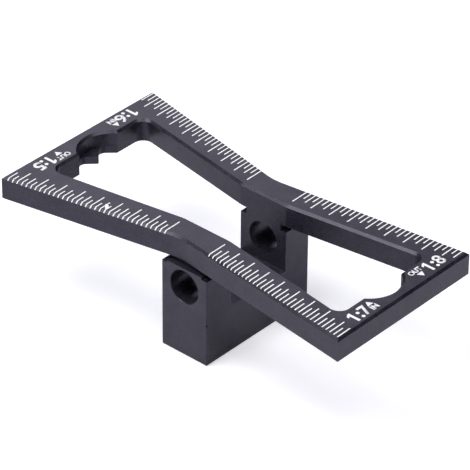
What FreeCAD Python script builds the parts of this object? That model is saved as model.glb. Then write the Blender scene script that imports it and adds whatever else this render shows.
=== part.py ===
"""Dovetail marker: an hourglass scale frame on a U-shaped fence, machined from one bar of aluminium."""
import FreeCAD
import Part
import math
import os

import Sketcher

# Driving dimensions in millimetres. Ratios are the run of an edge for one unit of spread.
SIZES = {
    "frame_length": 129.0,
    "frame_thickness": 8.0,
    "waist_width": 42.1,
    "waist_offset": 3.28,
    "left_outer_ratio": 5.0,
    "right_outer_ratio": 8.0,
    "left_inner_ratio": 6.0,
    "right_inner_ratio": 7.0,
    "waist_radius": 20.0,
    "end_bar_width": 8.4,
    "inner_waist_radius": 5.0,
    "window_corner_radius": 3.0,
    "scallop_radius": 10.2,
    "notch_pitch": 8.5,
    "notch_root_radius": 2.2,
    "tooth_thickness": 2.9,
    "edge_chamfer": 0.75,
    "lower_bevel": 0.45,
    "fence_thickness": 18.0,
    "fence_width": 45.8,
    "fence_height": 32.0,
    "fence_gap": 24.6,
    "base_bar_height": 16.4,
    "fence_bevel": 0.3,
    "bore_diameter": 11.0,
    "bore_drop": 7.5,
    "bore_bevel": 0.2,
    "relief_depth": 2.25,
    "relief_height": 1.8,
    "ledge_drop": 1.0,
    "ledge_width": 2.4,
}

doc = FreeCAD.newDocument("dovetail_marker")
sheet = doc.addObject("Spreadsheet::Sheet", "Sizes")
for row, (alias, number) in enumerate(SIZES.items(), start=1):
    sheet.set(f"A{row}", alias)
    sheet.set(f"B{row}", str(number))
    sheet.setAlias(f"B{row}", alias)
doc.recompute()


class Size:
    """A length that knows both its number now and the sheet expression that gives it."""

    def __init__(self, number, text):
        self.number = number
        self.text = text

    def _join(self, other, sign, result):
        text = other.text if isinstance(other, Size) else str(other)
        return Size(result, f"({self.text} {sign} {text})")

    def __add__(self, other):
        return self._join(other, "+", self.number + number_of(other))

    def __sub__(self, other):
        return self._join(other, "-", self.number - number_of(other))

    def __mul__(self, other):
        return self._join(other, "*", self.number * number_of(other))

    def __truediv__(self, other):
        return self._join(other, "/", self.number / number_of(other))

    def __neg__(self):
        return Size(-self.number, f"(-1 * {self.text})")


def number_of(value):
    return value.number if isinstance(value, Size) else value


def size(alias):
    return Size(SIZES[alias], f"Sizes.{alias}")


def plane_of(body, role):
    for feature in body.Origin.OriginFeatures:
        if feature.Role == role:
            return feature
    raise ValueError(role)


def new_sketch(body, name, role, height=None):
    """A sketch on one of the body's own planes, lifted along the plane's normal by a size."""
    sketch = body.newObject("Sketcher::SketchObject", name)
    sketch.AttachmentSupport = [(plane_of(body, role), "")]
    sketch.MapMode = "FlatFace"
    if height is not None:
        sketch.setExpression("AttachmentOffset.Base.z", height.text)
    return sketch


def bind(sketch, constraint, value):
    index = sketch.addConstraint(constraint)
    sketch.setExpression(f"Constraints[{index}]", value.text)


def pin(sketch, curve, end, x, y):
    """Hold one end of a curve, or a point, at a place measured from the sketch's origin."""
    for axis, value in (("DistanceX", x), ("DistanceY", y)):
        if abs(value.number) < 1e-9:
            target = -2 if axis == "DistanceX" else -1
            sketch.addConstraint(Sketcher.Constraint("PointOnObject", curve, end, target))
        else:
            bind(sketch, Sketcher.Constraint(axis, -1, 1, curve, end, value.number), value)


def unit(start, end):
    run = FreeCAD.Vector(end[0] - start[0], end[1] - start[1], 0)
    return run / run.Length


def rounding(before, corner, after, radius):
    """Tangent points and centre of the arc of a given radius in a corner."""
    back = unit(corner, before)
    ahead = unit(corner, after)
    half_angle = back.getAngle(ahead) / 2
    reach = radius / math.tan(half_angle)
    middle = FreeCAD.Vector(corner[0], corner[1], 0)
    bisector = back + ahead
    bisector.normalize()
    centre = middle + bisector * (radius / math.sin(half_angle))
    return middle + back * reach, middle + ahead * reach, centre


def arc_between(start, end, centre, radius):
    """The shorter arc about a centre, and whether it runs against the way of travel."""
    first = math.atan2(start.y - centre.y, start.x - centre.x)
    last = math.atan2(end.y - centre.y, end.x - centre.x)
    sweep = (last - first + math.pi) % (2 * math.pi) - math.pi
    circle = Part.Circle(centre, FreeCAD.Vector(0, 0, 1), radius)
    if sweep > 0:
        return Part.ArcOfCircle(circle, first, first + sweep), False
    return Part.ArcOfCircle(circle, last, last - sweep), True


def draw_outline(sketch, corners):
    """A closed outline through corners that are sharp, rounded, or start a scallop.

    Each corner is (x, y, kind, radius): a round corner is cut back to tangent points, and a
    scallop is an arc that runs from its corner to the next one and bulges out of the window.
    """
    places = [(x.number, y.number) for x, y, kind, radius in corners]
    count = len(corners)
    joints = []
    for index, (x, y, kind, radius) in enumerate(corners):
        here = FreeCAD.Vector(places[index][0], places[index][1], 0)
        if kind == "round":
            entry, leave, centre = rounding(
                places[index - 1], places[index], places[(index + 1) % count], radius.number)
            arc, reverse = arc_between(entry, leave, centre, radius.number)
            joints.append((entry, leave, arc, reverse))
        else:
            joints.append((here, here, None, False))

    pieces = []
    for index, (x, y, kind, radius) in enumerate(corners):
        entry, leave, arc, reverse = joints[index]
        if arc is not None:
            curve = sketch.addGeometry(arc, False)
            bind(sketch, Sketcher.Constraint("Radius", curve, radius.number), radius)
            pieces.append((curve, 2 if reverse else 1, 1 if reverse else 2, "arc", index))
        target = joints[(index + 1) % count][0]
        if kind == "scallop":
            outward = FreeCAD.Vector(1 if leave.x > 0 else -1, 0, 0)
            half_chord = (target - leave).Length / 2
            inset = math.sqrt(radius.number ** 2 - half_chord ** 2)
            centre = (leave + target) / 2 - outward * inset
            arc, reverse = arc_between(leave, target, centre, radius.number)
            curve = sketch.addGeometry(arc, False)
            bind(sketch, Sketcher.Constraint("Radius", curve, radius.number), radius)
            pieces.append((curve, 2 if reverse else 1, 1 if reverse else 2, "scallop", index))
        else:
            curve = sketch.addGeometry(Part.LineSegment(leave, target), False)
            pieces.append((curve, 1, 2, "line", index))

    total = len(pieces)
    for step, (curve, first, last, shape, index) in enumerate(pieces):
        after, after_first, after_last, after_shape, after_index = pieces[(step + 1) % total]
        smooth = "arc" in (shape, after_shape)
        sketch.addConstraint(Sketcher.Constraint(
            "Tangent" if smooth else "Coincident", curve, last, after, after_first))
        if not smooth:
            x, y, kind, radius = corners[after_index]
            pin(sketch, after, after_first, x, y)
    for index, (x, y, kind, radius) in enumerate(corners):
        if kind != "round":
            continue
        vertex = sketch.addGeometry(
            Part.Point(FreeCAD.Vector(places[index][0], places[index][1], 0)), True)
        pin(sketch, vertex, 1, x, y)
        arc_step = [s for s, piece in enumerate(pieces)
                    if piece[3] == "arc" and piece[4] == index][0]
        for neighbour in (pieces[arc_step - 1], pieces[(arc_step + 1) % total]):
            sketch.addConstraint(
                Sketcher.Constraint("PointOnObject", vertex, 1, neighbour[0]))


def draw_box(sketch, left, bottom, right, top):
    """A rectangle between two opposite corners."""
    draw_outline(sketch, [
        (left, bottom, "sharp", None),
        (right, bottom, "sharp", None),
        (right, top, "sharp", None),
        (left, top, "sharp", None),
    ])


def add_pad(body, sketch, name, length, midplane=False):
    pad = body.newObject("PartDesign::Pad", name)
    pad.Profile = sketch
    pad.setExpression("Length", length.text)
    pad.Midplane = midplane
    doc.recompute()
    return pad


def finish_cut(body, cut, before):
    """A cut has to take material away, or the build stops."""
    doc.recompute()
    if not body.Shape.Volume < before - 0.1:
        raise ValueError(f"{cut.Name} cuts nothing")


def add_pocket(body, sketch, name, depth, midplane=False):
    before = body.Shape.Volume
    pocket = body.newObject("PartDesign::Pocket", name)
    pocket.Profile = sketch
    pocket.setExpression("Length", depth.text)
    pocket.Midplane = midplane
    finish_cut(body, pocket, before)


def add_turned_cut(body, sketch, name):
    """A full turn of a profile about its sketch's horizontal axis, taken out of the body."""
    before = body.Shape.Volume
    groove = body.newObject("PartDesign::Groove", name)
    groove.Profile = sketch
    groove.ReferenceAxis = (sketch, ["H_Axis"])
    groove.Angle = 360.0
    finish_cut(body, groove, before)


def add_chamfer(body, name, width, belongs):
    """A chamfer on every edge of the solid so far that passes a test on its points."""
    base = body.Tip
    names = []
    for index, edge in enumerate(base.Shape.Edges, start=1):
        ends = [edge.valueAt(edge.FirstParameter), edge.valueAt(edge.LastParameter)]
        middle = edge.valueAt((edge.FirstParameter + edge.LastParameter) / 2)
        if belongs(ends, middle):
            names.append(f"Edge{index}")
    chamfer = body.newObject("PartDesign::Chamfer", name)
    chamfer.Base = (base, names)
    chamfer.setExpression("Size", width.text)
    doc.recompute()
    return chamfer


def near(value, goal):
    return abs(value - goal) < 1e-4


# Places shared by the frame and the fence
half_length = size("frame_length") / 2
half_waist = size("waist_width") / 2
waist_x = -size("waist_offset")
half_thickness = size("fence_thickness") / 2
half_width = size("fence_width") / 2
half_gap = size("fence_gap") / 2
underside = size("fence_height")
top = underside + size("frame_thickness")
no_length = Size(0.0, "0")

body = doc.addObject("PartDesign::Body", "marker_body")
body.Label = "marker_body"


def outer_corners():
    """The hourglass: 1:5 edges run left from the waist and 1:8 edges run right from it."""
    left_reach = half_waist + (half_length + waist_x) / size("left_outer_ratio")
    right_reach = half_waist + (half_length - waist_x) / size("right_outer_ratio")
    radius = size("waist_radius")
    return [
        (-half_length, -left_reach, "sharp", None),
        (waist_x, -half_waist, "round", radius),
        (half_length, -right_reach, "sharp", None),
        (half_length, right_reach, "sharp", None),
        (waist_x, half_waist, "round", radius),
        (-half_length, left_reach, "sharp", None),
    ]


def window_corners(notched):
    """The window: 1:6 and 1:7 edges that meet the flat waist as wide as the fence gap.

    Each end wall has one wide scallop in the upper part of the plate. The lower part keeps a
    pointed tooth on the centre line, between two V notches with a rounded root.
    """
    end_x = half_length - size("end_bar_width")
    left_reach = half_gap + (end_x - half_thickness) / size("left_inner_ratio")
    right_reach = half_gap + (end_x - half_thickness) / size("right_inner_ratio")
    corner = size("window_corner_radius")
    blend = size("inner_waist_radius")
    pitch = size("notch_pitch")

    def end_wall(side, way):
        x = end_x if side > 0 else -end_x
        root_x = end_x + pitch / 2 if side > 0 else -(end_x + pitch / 2)
        first = -pitch if way > 0 else pitch
        last = pitch if way > 0 else -pitch
        if not notched:
            return [(x, first, "scallop", size("scallop_radius")), (x, last, "sharp", None)]
        root = size("notch_root_radius")
        return [
            (x, first, "sharp", None),
            (root_x, first / 2, "round", root),
            (x, no_length, "sharp", None),
            (root_x, last / 2, "round", root),
            (x, last, "sharp", None),
        ]

    return [
        (-end_x, -left_reach, "round", corner),
        (-half_thickness, -half_gap, "round", blend),
        (half_thickness, -half_gap, "round", blend),
        (end_x, -right_reach, "round", corner),
        *end_wall(1, 1),
        (end_x, right_reach, "round", corner),
        (half_thickness, half_gap, "round", blend),
        (-half_thickness, half_gap, "round", blend),
        (-end_x, left_reach, "round", corner),
        *end_wall(-1, -1),
    ]


# The frame plate with its window
sketch = new_sketch(body, "frame_outline", "XY_Plane", underside)
draw_outline(sketch, outer_corners())
add_pad(body, sketch, "frame_plate", size("frame_thickness"))

sketch = new_sketch(body, "upper_window_outline", "XY_Plane", top)
draw_outline(sketch, window_corners(False))
add_pocket(body, sketch, "upper_window", size("frame_thickness") - size("tooth_thickness"))

# The scale face's edges are broken all round, outside and in the window
add_chamfer(body, "top_edges", size("edge_chamfer"), lambda ends, middle: (
    near(ends[0].z, top.number) and near(ends[1].z, top.number) and near(middle.z, top.number)))

sketch = new_sketch(body, "lower_window_outline", "XY_Plane", top)
draw_outline(sketch, window_corners(True))
add_pocket(body, sketch, "lower_window", size("frame_thickness"))

# The lower edges have a smaller bevel
add_chamfer(body, "under_edges", size("lower_bevel"), lambda ends, middle: (
    near(ends[0].z, underside.number) and near(ends[1].z, underside.number)))

# The fence: a block across the waist, with a relief groove on each face under the plate
relief_floor = underside - size("relief_height")
ledge_level = underside - size("ledge_drop")
half_neck = half_thickness - size("relief_depth")
sketch = new_sketch(body, "fence_profile", "XZ_Plane")
draw_outline(sketch, [
    (-half_thickness, no_length, "sharp", None),
    (half_thickness, no_length, "sharp", None),
    (half_thickness, relief_floor, "sharp", None),
    (half_neck, relief_floor, "sharp", None),
    (half_neck, ledge_level, "sharp", None),
    (-half_neck, ledge_level, "sharp", None),
    (-half_neck, relief_floor, "sharp", None),
    (-half_thickness, relief_floor, "sharp", None),
])
add_pad(body, sketch, "fence_block", size("fence_width"), midplane=True)

# The neck joins the block to the plate. It stands back from the fence's outer faces by the
# ledge, and fills the plate's lower bevel where it meets the window.
ledge_y = half_width - size("ledge_width")
sketch = new_sketch(body, "neck_outline", "XY_Plane", ledge_level)
draw_box(sketch, -half_neck, -ledge_y, half_neck, ledge_y)
add_pad(body, sketch, "neck", size("ledge_drop") + size("lower_bevel"))

# The gap between the two towers of the fence, flush with the flat of the window
sketch = new_sketch(body, "gap_outline", "YZ_Plane")
draw_box(sketch, -half_gap, size("base_bar_height"), half_gap, underside + size("lower_bevel"))
add_pocket(body, sketch, "tower_gap", size("fence_thickness"), midplane=True)

# The cross bore through both towers, turned with a small bevel at each mouth
bore_height = underside - size("bore_drop")
half_bore = size("bore_diameter") / 2
mouth = half_bore + size("bore_bevel")
bevel_start = half_width - size("bore_bevel")
sketch = new_sketch(body, "bore_outline", "YZ_Plane")
sketch.setExpression("AttachmentOffset.Base.y", bore_height.text)
draw_outline(sketch, [
    (-half_width, no_length, "sharp", None),
    (half_width, no_length, "sharp", None),
    (half_width, mouth, "sharp", None),
    (bevel_start, half_bore, "sharp", None),
    (-bevel_start, half_bore, "sharp", None),
    (-half_width, mouth, "sharp", None),
])
add_turned_cut(body, sketch, "cross_bore")


def on_fence_corner(ends, middle):
    """Upright outer corners of the fence and the four edges of its foot."""
    upright = (near(abs(middle.x), half_thickness.number) and near(abs(middle.y), half_width.number)
               and near(ends[0].x, ends[1].x) and near(ends[0].y, ends[1].y))
    foot = near(ends[0].z, 0) and near(ends[1].z, 0)
    return upright or foot


add_chamfer(body, "fence_edges", size("fence_bevel"), on_fence_corner)
body.Placement = FreeCAD.Placement()
doc.recompute()

for item in doc.Objects:
    if {"Invalid", "Error"} & set(item.State):
        raise ValueError(f"{item.Name}: {item.State}")
os.makedirs("parts", exist_ok=True)
for part in (body,):
    if part.Shape.isNull() or not part.Shape.isValid():
        raise ValueError(f"{part.Label} has no valid shape")
    part.Shape.exportStep(f"parts/{part.Label}.step")
    box = part.Shape.BoundBox
    print(part.Label, "solids", len(part.Shape.Solids), "volume", round(part.Shape.Volume, 1),
          "box", [round(v, 3) for v in (box.XMin, box.YMin, box.ZMin, box.XMax, box.YMax, box.ZMax)])
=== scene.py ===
import math

import bpy
from mathutils import Matrix, Vector


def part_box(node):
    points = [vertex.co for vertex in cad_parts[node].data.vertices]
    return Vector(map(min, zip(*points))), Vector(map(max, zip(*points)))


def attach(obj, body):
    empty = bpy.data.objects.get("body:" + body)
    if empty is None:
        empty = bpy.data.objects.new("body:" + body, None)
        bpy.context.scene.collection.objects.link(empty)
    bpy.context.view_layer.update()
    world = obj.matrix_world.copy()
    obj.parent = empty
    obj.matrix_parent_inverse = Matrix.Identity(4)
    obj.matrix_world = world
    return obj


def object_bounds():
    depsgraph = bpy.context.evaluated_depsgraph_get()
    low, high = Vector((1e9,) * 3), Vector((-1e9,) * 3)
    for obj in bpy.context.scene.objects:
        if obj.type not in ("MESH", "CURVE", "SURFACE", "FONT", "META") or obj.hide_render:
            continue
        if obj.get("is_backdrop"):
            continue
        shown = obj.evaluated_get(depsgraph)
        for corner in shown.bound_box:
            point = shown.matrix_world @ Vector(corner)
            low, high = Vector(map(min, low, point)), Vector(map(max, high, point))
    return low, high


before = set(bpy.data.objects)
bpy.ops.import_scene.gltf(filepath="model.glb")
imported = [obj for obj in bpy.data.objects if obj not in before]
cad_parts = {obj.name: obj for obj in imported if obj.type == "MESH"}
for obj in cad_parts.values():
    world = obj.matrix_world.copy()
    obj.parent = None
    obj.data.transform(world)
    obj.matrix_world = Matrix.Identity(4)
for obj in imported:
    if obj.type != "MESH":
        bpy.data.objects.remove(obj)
cad_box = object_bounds()

# Marker body
# The frame and its fence are one machined bar of aluminium. It is bead-blasted, then anodised
# dark grey, so the skin is an even satin with a very fine grain and a faint blue cast.
mm = 0.001
skin_index = 1.6
cool_sheen = (0.88, 0.84, 1.0, 1.0)
grain_density = 2100.0
grain_detail = 3.0
grain_mix = 0.65
grain_low = 0.3
grain_high = 0.7
grain_share = 0.7
cloud_density = 160.0
cloud_detail = 4.0
cloud_share = 0.3
deep_dye = (0.003, 0.003, 0.008, 1.0)
deep_dye_at = 0.41
thin_dye = (0.026, 0.025, 0.035, 1.0)
thin_dye_at = 0.59
satin_smooth = 0.25
satin_rough = 0.43
pit_depth = 0.06 * mm
pit_strength = 0.4
chip_middle = (9.0 * mm, -22.9 * mm, 14.55 * mm)
chip_inner = 0.36 * mm
chip_outer = 0.48 * mm
chip_dark = (0.006, 0.006, 0.008, 1.0)

anodised = bpy.data.materials.new("dark_grey_anodising")
anodised.use_nodes = True
nodes = anodised.node_tree.nodes
links = anodised.node_tree.links
skin = nodes["Principled BSDF"]
skin.inputs["IOR"].default_value = skin_index
skin.inputs["Specular Tint"].default_value = cool_sheen
place = nodes.new("ShaderNodeTexCoord")

# The blasted skin and the laser marks share this fine grain, each at its own scale
fine_grain = bpy.data.node_groups.new("fine_grain", "ShaderNodeTree")
fine_grain.interface.new_socket("Place", in_out="INPUT", socket_type="NodeSocketVector")
fine_grain.interface.new_socket("Scale", in_out="INPUT", socket_type="NodeSocketFloat")
fine_grain.interface.new_socket("Grain", in_out="OUTPUT", socket_type="NodeSocketFloat")
given = fine_grain.nodes.new("NodeGroupInput")
noise = fine_grain.nodes.new("ShaderNodeTexNoise")
noise.inputs["Detail"].default_value = grain_detail
noise.inputs["Roughness"].default_value = grain_mix
made = fine_grain.nodes.new("NodeGroupOutput")
fine_grain.links.new(given.outputs["Place"], noise.inputs["Vector"])
fine_grain.links.new(given.outputs["Scale"], noise.inputs["Scale"])
fine_grain.links.new(noise.outputs["Fac"], made.inputs["Grain"])

blast_grain = nodes.new("ShaderNodeGroup")
blast_grain.node_tree = fine_grain
blast_grain.inputs["Scale"].default_value = grain_density
links.new(place.outputs["Object"], blast_grain.inputs["Place"])

dye_cloud = nodes.new("ShaderNodeTexNoise")
dye_cloud.inputs["Scale"].default_value = cloud_density
dye_cloud.inputs["Detail"].default_value = cloud_detail
links.new(place.outputs["Object"], dye_cloud.inputs["Vector"])

# The tone follows the grain for the most part, and the slow clouds in the dye for the rest
share = nodes.new("ShaderNodeMath")
share.operation = "MULTIPLY"
share.inputs[1].default_value = cloud_share
links.new(dye_cloud.outputs["Fac"], share.inputs[0])
tone = nodes.new("ShaderNodeMath")
tone.operation = "MULTIPLY_ADD"
tone.inputs[1].default_value = grain_share
links.new(blast_grain.outputs["Grain"], tone.inputs[0])
links.new(share.outputs["Value"], tone.inputs[2])
shade = nodes.new("ShaderNodeValToRGB")
shade.color_ramp.elements[0].position = deep_dye_at
shade.color_ramp.elements[0].color = deep_dye
shade.color_ramp.elements[1].position = thin_dye_at
shade.color_ramp.elements[1].color = thin_dye
links.new(tone.outputs["Value"], shade.inputs["Fac"])

# A tiny dark chip on the fence's upright corner
chip_place = nodes.new("ShaderNodeVectorMath")
chip_place.operation = "DISTANCE"
chip_place.inputs[1].default_value = chip_middle
links.new(place.outputs["Object"], chip_place.inputs[0])
chip_edge = nodes.new("ShaderNodeMapRange")
chip_edge.inputs["From Min"].default_value = chip_inner
chip_edge.inputs["From Max"].default_value = chip_outer
links.new(chip_place.outputs["Value"], chip_edge.inputs["Value"])
chipped = nodes.new("ShaderNodeMix")
chipped.data_type = "RGBA"
chipped.inputs["A"].default_value = chip_dark
links.new(chip_edge.outputs["Result"], chipped.inputs["Factor"])
links.new(shade.outputs["Color"], chipped.inputs["B"])
links.new(chipped.outputs["Result"], skin.inputs["Base Color"])
chip_metal = nodes.new("ShaderNodeMath")
chip_metal.operation = "SUBTRACT"
chip_metal.inputs[0].default_value = 1.0
links.new(chip_edge.outputs["Result"], chip_metal.inputs[1])
links.new(chip_metal.outputs["Value"], skin.inputs["Metallic"])

satin = nodes.new("ShaderNodeMapRange")
satin.inputs["From Min"].default_value = grain_low
satin.inputs["From Max"].default_value = grain_high
satin.inputs["To Min"].default_value = satin_smooth
satin.inputs["To Max"].default_value = satin_rough
links.new(blast_grain.outputs["Grain"], satin.inputs["Value"])
links.new(satin.outputs["Result"], skin.inputs["Roughness"])

pits = nodes.new("ShaderNodeBump")
pits.inputs["Strength"].default_value = pit_strength
pits.inputs["Distance"].default_value = pit_depth
links.new(blast_grain.outputs["Grain"], pits.inputs["Height"])
links.new(pits.outputs["Normal"], skin.inputs["Normal"])

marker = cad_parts["marker_body"]
for index in range(len(marker.data.materials)):
    marker.data.materials[index] = anodised

# Graduations
# Each half of each long edge has a scale in sixteenths of an inch. The marks are cut by laser
# through the dye, so they are thin, bright and flat, and run over the broken edge. The whole
# engraving stands a little askew on the body.
scale_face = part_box("marker_body")[1][2]
half_waist = 21.05 * mm
waist_place = -3.28 * mm
left_ratio = 5.0
right_ratio = 8.0
edge_chamfer = 0.75 * mm
mark_pitch = 1.5875 * mm
mark_width = 0.39 * mm
mark_film = 0.03 * mm
mark_count = 35
zero_place = 8.88 * mm
zero_edge = 22.04 * mm
overrun = 0.4 * mm
short_reach = 3.75 * mm
middle_reach = 5.20 * mm
long_reach = 6.84 * mm
odd_reach = 6.05 * mm
odd_step = 32
weld_gap = 0.002 * mm
skew = math.radians(0.721)
slip = Vector((0.096 * mm, -0.091 * mm, 0.0))
mark_rough = 0.7
speckle_density = 2400.0
dim_white = (0.84, 0.84, 0.88, 1.0)
dim_white_at = 0.3
full_white = (0.95, 0.95, 0.97, 1.0)
full_white_at = 0.6

laser_white = bpy.data.materials.new("laser_white")
laser_white.use_nodes = True
nodes = laser_white.node_tree.nodes
links = laser_white.node_tree.links
bright = nodes["Principled BSDF"]
bright.inputs["Roughness"].default_value = mark_rough
place = nodes.new("ShaderNodeTexCoord")
speckle = nodes.new("ShaderNodeGroup")
speckle.node_tree = fine_grain
speckle.inputs["Scale"].default_value = speckle_density
links.new(place.outputs["Object"], speckle.inputs["Place"])
whites = nodes.new("ShaderNodeValToRGB")
whites.color_ramp.elements[0].position = dim_white_at
whites.color_ramp.elements[0].color = dim_white
whites.color_ramp.elements[1].position = full_white_at
whites.color_ramp.elements[1].color = full_white
links.new(speckle.outputs["Grain"], whites.inputs["Fac"])
links.new(whites.outputs["Color"], bright.inputs["Base Color"])


def lay_film(shape, thickness):
    """Gives the active flat shape its thickness and the white of the laser marks."""
    film = shape.modifiers.new("film", "SOLIDIFY")
    film.thickness = thickness
    film.offset = 1.0
    bpy.ops.object.modifier_apply(modifier="film")
    shape.data.materials.append(laser_white)


def on_body(x, y):
    """A point of the engraving, where it lies on the scale face."""
    return Matrix.Rotation(skew, 3, "Z") @ Vector((x, y, 0.0)) + slip + Vector((0, 0, scale_face))


def past_edge(point):
    """How far a point lies past the upper line of the broken edge, square to that edge."""
    ratio = left_ratio if point.x < waist_place else right_ratio
    lean = math.hypot(1.0, 1.0 / ratio)
    edge = half_waist + abs(point.x - waist_place) / ratio
    return (abs(point.y) - edge) / lean + edge_chamfer


def mark_rows(x, side, line, reach):
    """The tip, bend and outer end of one side of a mark."""
    tip = on_body(x, side * (line - reach))
    end = on_body(x, side * (line + overrun))
    before = past_edge(tip)
    after = past_edge(end)
    if after <= 0.0:
        return tip, end, end
    bend = tip.lerp(end, -before / (after - before))
    last = min(after, edge_chamfer)
    end = tip.lerp(end, (last - before) / (after - before))
    end.z = scale_face - last
    return tip, bend, end


# A strip of two faces in a row, from which every mark is copied
bpy.ops.object.select_all(action="DESELECT")
bpy.ops.mesh.primitive_plane_add(size=1.0, location=(0.0, 0.0, 0.0))
first_mark = bpy.context.object
bpy.ops.object.mode_set(mode="EDIT")
bpy.ops.mesh.select_mode(type="VERT")
bpy.ops.mesh.select_all(action="DESELECT")
bpy.ops.object.mode_set(mode="OBJECT")
for vertex in first_mark.data.vertices:
    vertex.select = vertex.co.y > 0
bpy.ops.object.mode_set(mode="EDIT")
bpy.ops.mesh.extrude_region_move(TRANSFORM_OT_translate={"value": (0.0, 1.0, 0.0)})
bpy.ops.object.mode_set(mode="OBJECT")


def cut_mark(name, half, side, slope, step):
    """One mark: a strip from its inner tip to the broken edge, and on down the edge."""
    strip = first_mark.copy()
    strip.data = first_mark.data.copy()
    strip.name = name
    bpy.context.scene.collection.objects.link(strip)
    reach = short_reach
    if step % 2 == 0:
        reach = middle_reach
    if step % 4 == 0:
        reach = long_reach
    if half > 0 and step == odd_step:
        reach = odd_reach
    middle = half * (zero_place + step * mark_pitch)
    for vertex in strip.data.vertices:
        x = middle + side * math.copysign(mark_width / 2, vertex.co.x)
        line = zero_edge + (abs(x) - zero_place) * slope
        row = round(vertex.co.y + 0.5)
        vertex.co = mark_rows(x, side, line, reach)[row]
    return strip


def cut_scale(name, half, side, slope):
    """The thirty-five marks of one half of one edge, joined and given the film's thickness."""
    marks = [cut_mark(f"{name}_{step}", half, side, slope, step) for step in range(mark_count)]
    bpy.ops.object.select_all(action="DESELECT")
    for strip in marks:
        strip.select_set(True)
    bpy.context.view_layer.objects.active = marks[0]
    bpy.ops.object.join()
    scale_marks = bpy.context.object
    scale_marks.name = name
    bpy.ops.object.mode_set(mode="EDIT")
    bpy.ops.mesh.select_all(action="SELECT")
    bpy.ops.mesh.remove_doubles(threshold=weld_gap)
    bpy.ops.object.mode_set(mode="OBJECT")
    lay_film(scale_marks, mark_film)
    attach(scale_marks, "root")


cut_scale("scale_near_left", -1.0, -1.0, 1 / left_ratio)
cut_scale("scale_far_left", -1.0, 1.0, 1 / left_ratio)
cut_scale("scale_near_right", 1.0, -1.0, 1 / right_ratio)
cut_scale("scale_far_right", 1.0, 1.0, 1 / right_ratio)
bpy.data.objects.remove(first_mark)

# Stray white patch
# A small uneven white patch lies over two neighbouring marks of the near left scale and joins
# them. It is widest at its end towards the window and runs out along the shorter mark.
patch_place = Vector((-30.05 * mm, -23.95 * mm, scale_face))
patch_film = 1.5 * mark_film
patch_outline = [(-1.05, 0.55), (-0.72, 0.05), (0.0, -0.6), (0.75, -1.35), (1.15, -1.5),
                 (1.12, -0.98), (1.12, -0.5), (0.75, 0.22), (0.08, 0.78), (-0.65, 1.05),
                 (-1.05, 0.95)]
bpy.ops.object.select_all(action="DESELECT")
bpy.ops.mesh.primitive_circle_add(vertices=len(patch_outline), radius=1.0 * mm,
                                  fill_type="NGON", location=(0.0, 0.0, 0.0))
patch = bpy.context.object
patch.name = "stray_white_patch"
for vertex, (x, y) in zip(patch.data.vertices, patch_outline):
    vertex.co = patch_place + Vector((x * mm, y * mm, 0.0))
lay_film(patch, patch_film)
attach(patch, "root")

# Ratio figures
# The slope ratios and the words IN and OUT stand at both ends of the frame, cut as the marks
# are. Each arrow points to the edge that its ratio belongs to, inside or outside.
digit_height = 4.5 * mm
word_height = 2.05 * mm
dot_radius = 0.58 * mm
dot_spread = 1.1 * mm
dot_sides = 24
digit_weight = 0.03
looped_weight = 0.02
word_weight = 0.04
one_outline = [(0.05, -2.25), (0.98, -2.25), (0.98, 2.25), (0.3, 2.25), (-0.82, 1.5),
               (-0.82, 0.65), (0.05, 1.15)]
arrow_outline = [(-1.25, -0.98), (1.25, -0.98), (0.0, 0.98)]
right_turn = 90.0
left_turn = -90.0
half_turn = 180.0


def finish_figure(figure, centre_x, centre_y, turn):
    """Turns a flat figure about its own middle, sets it on the scale face and gives it film."""
    figure.rotation_euler = (0.0, 0.0, math.radians(turn) + skew)
    figure.location = on_body(centre_x * mm, centre_y * mm)
    bpy.ops.object.transform_apply(location=True, rotation=True, scale=True)
    lay_film(figure, mark_film)
    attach(figure, "root")


def cut_figure(name, words, height, centre_x, centre_y, width, turn, weight):
    """Letters or a digit of a given height and width, with strokes fattened by a weight."""
    bpy.ops.object.select_all(action="DESELECT")
    bpy.ops.object.text_add(location=(0.0, 0.0, 0.0))
    figure = bpy.context.object
    figure.name = name
    figure.data.body = words
    figure.data.size = 1.0
    figure.data.offset = weight
    bpy.ops.object.convert(target="MESH")
    figure = bpy.context.object
    corners = [vertex.co for vertex in figure.data.vertices]
    low = Vector((min(c.x for c in corners), min(c.y for c in corners), 0.0))
    high = Vector((max(c.x for c in corners), max(c.y for c in corners), 0.0))
    bpy.ops.object.mode_set(mode="EDIT")
    bpy.ops.mesh.select_all(action="SELECT")
    bpy.ops.transform.translate(value=-(low + high) / 2)
    fit = (width * mm / (high.x - low.x), height / (high.y - low.y), 1.0)
    bpy.ops.transform.resize(value=fit, center_override=(0.0, 0.0, 0.0))
    bpy.ops.object.mode_set(mode="OBJECT")
    finish_figure(figure, centre_x, centre_y, turn)


def cut_shape(name, outline, centre_x, centre_y, turn):
    """A figure with a straight-sided outline of its own, such as the one or an arrow."""
    bpy.ops.object.select_all(action="DESELECT")
    bpy.ops.mesh.primitive_circle_add(vertices=len(outline), radius=1.0 * mm, fill_type="NGON",
                                      location=(0.0, 0.0, 0.0))
    figure = bpy.context.object
    figure.name = name
    for vertex, (x, y) in zip(figure.data.vertices, outline):
        vertex.co = (x * mm, y * mm, 0.0)
    bpy.ops.object.mode_set(mode="EDIT")
    bpy.ops.mesh.select_all(action="SELECT")
    bpy.ops.mesh.quads_convert_to_tris()
    bpy.ops.object.mode_set(mode="OBJECT")
    finish_figure(figure, centre_x, centre_y, turn)


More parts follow.
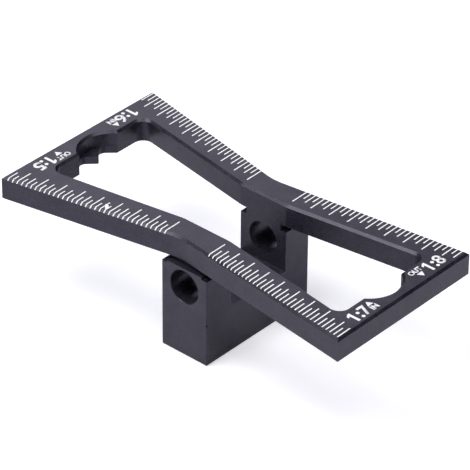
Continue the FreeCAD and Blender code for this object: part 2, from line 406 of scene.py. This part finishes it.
def cut_dots(name, centre_x, centre_y, turn):
    """The two round dots of a ratio's colon, an equal way from its middle."""
    bpy.ops.object.select_all(action="DESELECT")
    dots = []
    for dot_place in (dot_spread, -dot_spread):
        bpy.ops.mesh.primitive_circle_add(vertices=dot_sides, radius=dot_radius,
                                          fill_type="NGON", location=(0.0, dot_place, 0.0))
        dots.append(bpy.context.object)
    for dot in dots:
        dot.select_set(True)
    bpy.ops.object.join()
    bpy.ops.object.transform_apply(location=True, rotation=True, scale=True)
    colon = bpy.context.object
    colon.name = name
    finish_figure(colon, centre_x, centre_y, turn)


cut_shape("one_of_1_7", one_outline, 60.25, -19.25, right_turn)
cut_dots("colon_of_1_7", 60.8, -16.4, right_turn)
cut_figure("seven_of_1_7", "7", digit_height, 60.25, -13.9, 3.0, right_turn, digit_weight)
cut_shape("arrow_of_1_7", arrow_outline, 58.95, -10.75, right_turn)
cut_figure("in_of_1_7", "IN", word_height, 61.3, -10.75, 2.7, right_turn, word_weight)
cut_figure("out_of_1_8", "OUT", word_height, 58.85, 10.7, 5.2, right_turn, word_weight)
cut_shape("arrow_of_1_8", arrow_outline, 61.3, 10.95, right_turn + half_turn)
cut_shape("one_of_1_8", one_outline, 60.25, 14.7, right_turn)
cut_dots("colon_of_1_8", 60.8, 17.6, right_turn)
cut_figure("eight_of_1_8", "8", digit_height, 60.25, 20.0, 3.0, right_turn, looped_weight)
cut_shape("one_of_1_6", one_outline, -60.3, 20.8, left_turn)
cut_dots("colon_of_1_6", -60.8, 18.1, left_turn)
cut_figure("six_of_1_6", "6", digit_height, -60.3, 15.5, 3.3, left_turn, looped_weight)
cut_shape("arrow_of_1_6", arrow_outline, -58.95, 12.1, left_turn)
cut_figure("in_of_1_6", "IN", word_height, -61.4, 12.25, 2.9, left_turn, word_weight)
cut_figure("out_of_1_5", "OUT", word_height, -59.0, -11.6, 5.3, left_turn, word_weight)
cut_shape("arrow_of_1_5", arrow_outline, -61.5, -11.85, left_turn + half_turn)
cut_shape("one_of_1_5", one_outline, -60.3, -15.65, left_turn)
cut_dots("colon_of_1_5", -60.8, -18.4, left_turn)
cut_figure("five_of_1_5", "5", digit_height, -60.35, -20.7, 2.9, left_turn, digit_weight)

# Floor
# A plain white sheet under the marker. A glow that only the camera sees brings it to white, and
# the marker still shades it. The skin's satin doesn't mirror the glow.
floor_side = 6.0
floor_glow = 0.46
paper_white = (0.77, 0.765, 0.85, 1.0)
paper_rough = 0.9
floor_white = bpy.data.materials.new("white_floor")
floor_white.use_nodes = True
nodes = floor_white.node_tree.nodes
links = floor_white.node_tree.links
paper = nodes["Principled BSDF"]
paper.inputs["Base Color"].default_value = paper_white
paper.inputs["Roughness"].default_value = paper_rough
paper.inputs["Emission Color"].default_value = (1.0, 1.0, 1.0, 1.0)
ray = nodes.new("ShaderNodeLightPath")
glow = nodes.new("ShaderNodeMath")
glow.operation = "MULTIPLY"
glow.inputs[1].default_value = floor_glow
links.new(ray.outputs["Is Camera Ray"], glow.inputs[0])
links.new(glow.outputs["Value"], paper.inputs["Emission Strength"])
bpy.ops.object.select_all(action="DESELECT")
bpy.ops.mesh.primitive_plane_add(size=floor_side, location=(0.0, 0.0, 0.0))
floor = bpy.context.object
floor.name = "floor"
floor.data.materials.append(floor_white)
floor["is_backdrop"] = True

# Light
# Three soft boxes light the marker, in front of it, to its right and behind its left end. The
# room is white to the camera alone and sends no light of its own.
lamp_aim = Vector((0.0, 0.0, 0.03))
lamp_side = 0.9
room = bpy.data.worlds.new("white_room")
bpy.context.scene.world = room
room.use_nodes = True
nodes = room.node_tree.nodes
links = room.node_tree.links
walls = nodes["Background"]
walls.inputs["Color"].default_value = (1.0, 1.0, 1.0, 1.0)
ray = nodes.new("ShaderNodeLightPath")
links.new(ray.outputs["Is Camera Ray"], walls.inputs["Strength"])


def hang_lamp(name, place, power):
    """A square soft box that looks at the marker."""
    lamp = bpy.data.lights.new(name, "AREA")
    lamp.shape = "SQUARE"
    lamp.size = lamp_side
    lamp.energy = power
    holder = bpy.data.objects.new(name, lamp)
    bpy.context.scene.collection.objects.link(holder)
    holder.location = place
    holder.rotation_euler = (lamp_aim - Vector(place)).to_track_quat("-Z", "Y").to_euler()
    return holder


hang_lamp("front_box", (-0.305, -0.5285, 1.178), 15.5)
hang_lamp("right_box", (0.610, 0.0, 1.178), 7.3)
back_box = hang_lamp("back_box", (-0.919, 0.575, 0.748), 3.6)
back_box.data.color = (0.90, 0.88, 1.0)

# Camera
# A long lens, about a metre away, looks down across the right end and the near side. Its place
# and its lens were fitted to the marks and edges in the photograph.
view = bpy.data.cameras.new("camera")
view.lens = 269.1445
view.sensor_width = 36.0
view.clip_start = 0.01
camera = bpy.data.objects.new("camera", view)
bpy.context.scene.collection.objects.link(camera)
camera.location = (0.571548, -0.64858, 0.614458)
camera.rotation_euler = (math.radians(56.0083), math.radians(-0.4075), math.radians(41.683))
bpy.context.scene.camera = camera
bpy.context.scene.view_settings.view_transform = "Standard"


def as_numbers(value):
    """A box or a vector as plain lists of numbers."""
    if isinstance(value, (int, float)):
        return float(value)
    return [as_numbers(part) for part in value]


{"cad": as_numbers(cad_box), "visual": as_numbers(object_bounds())}
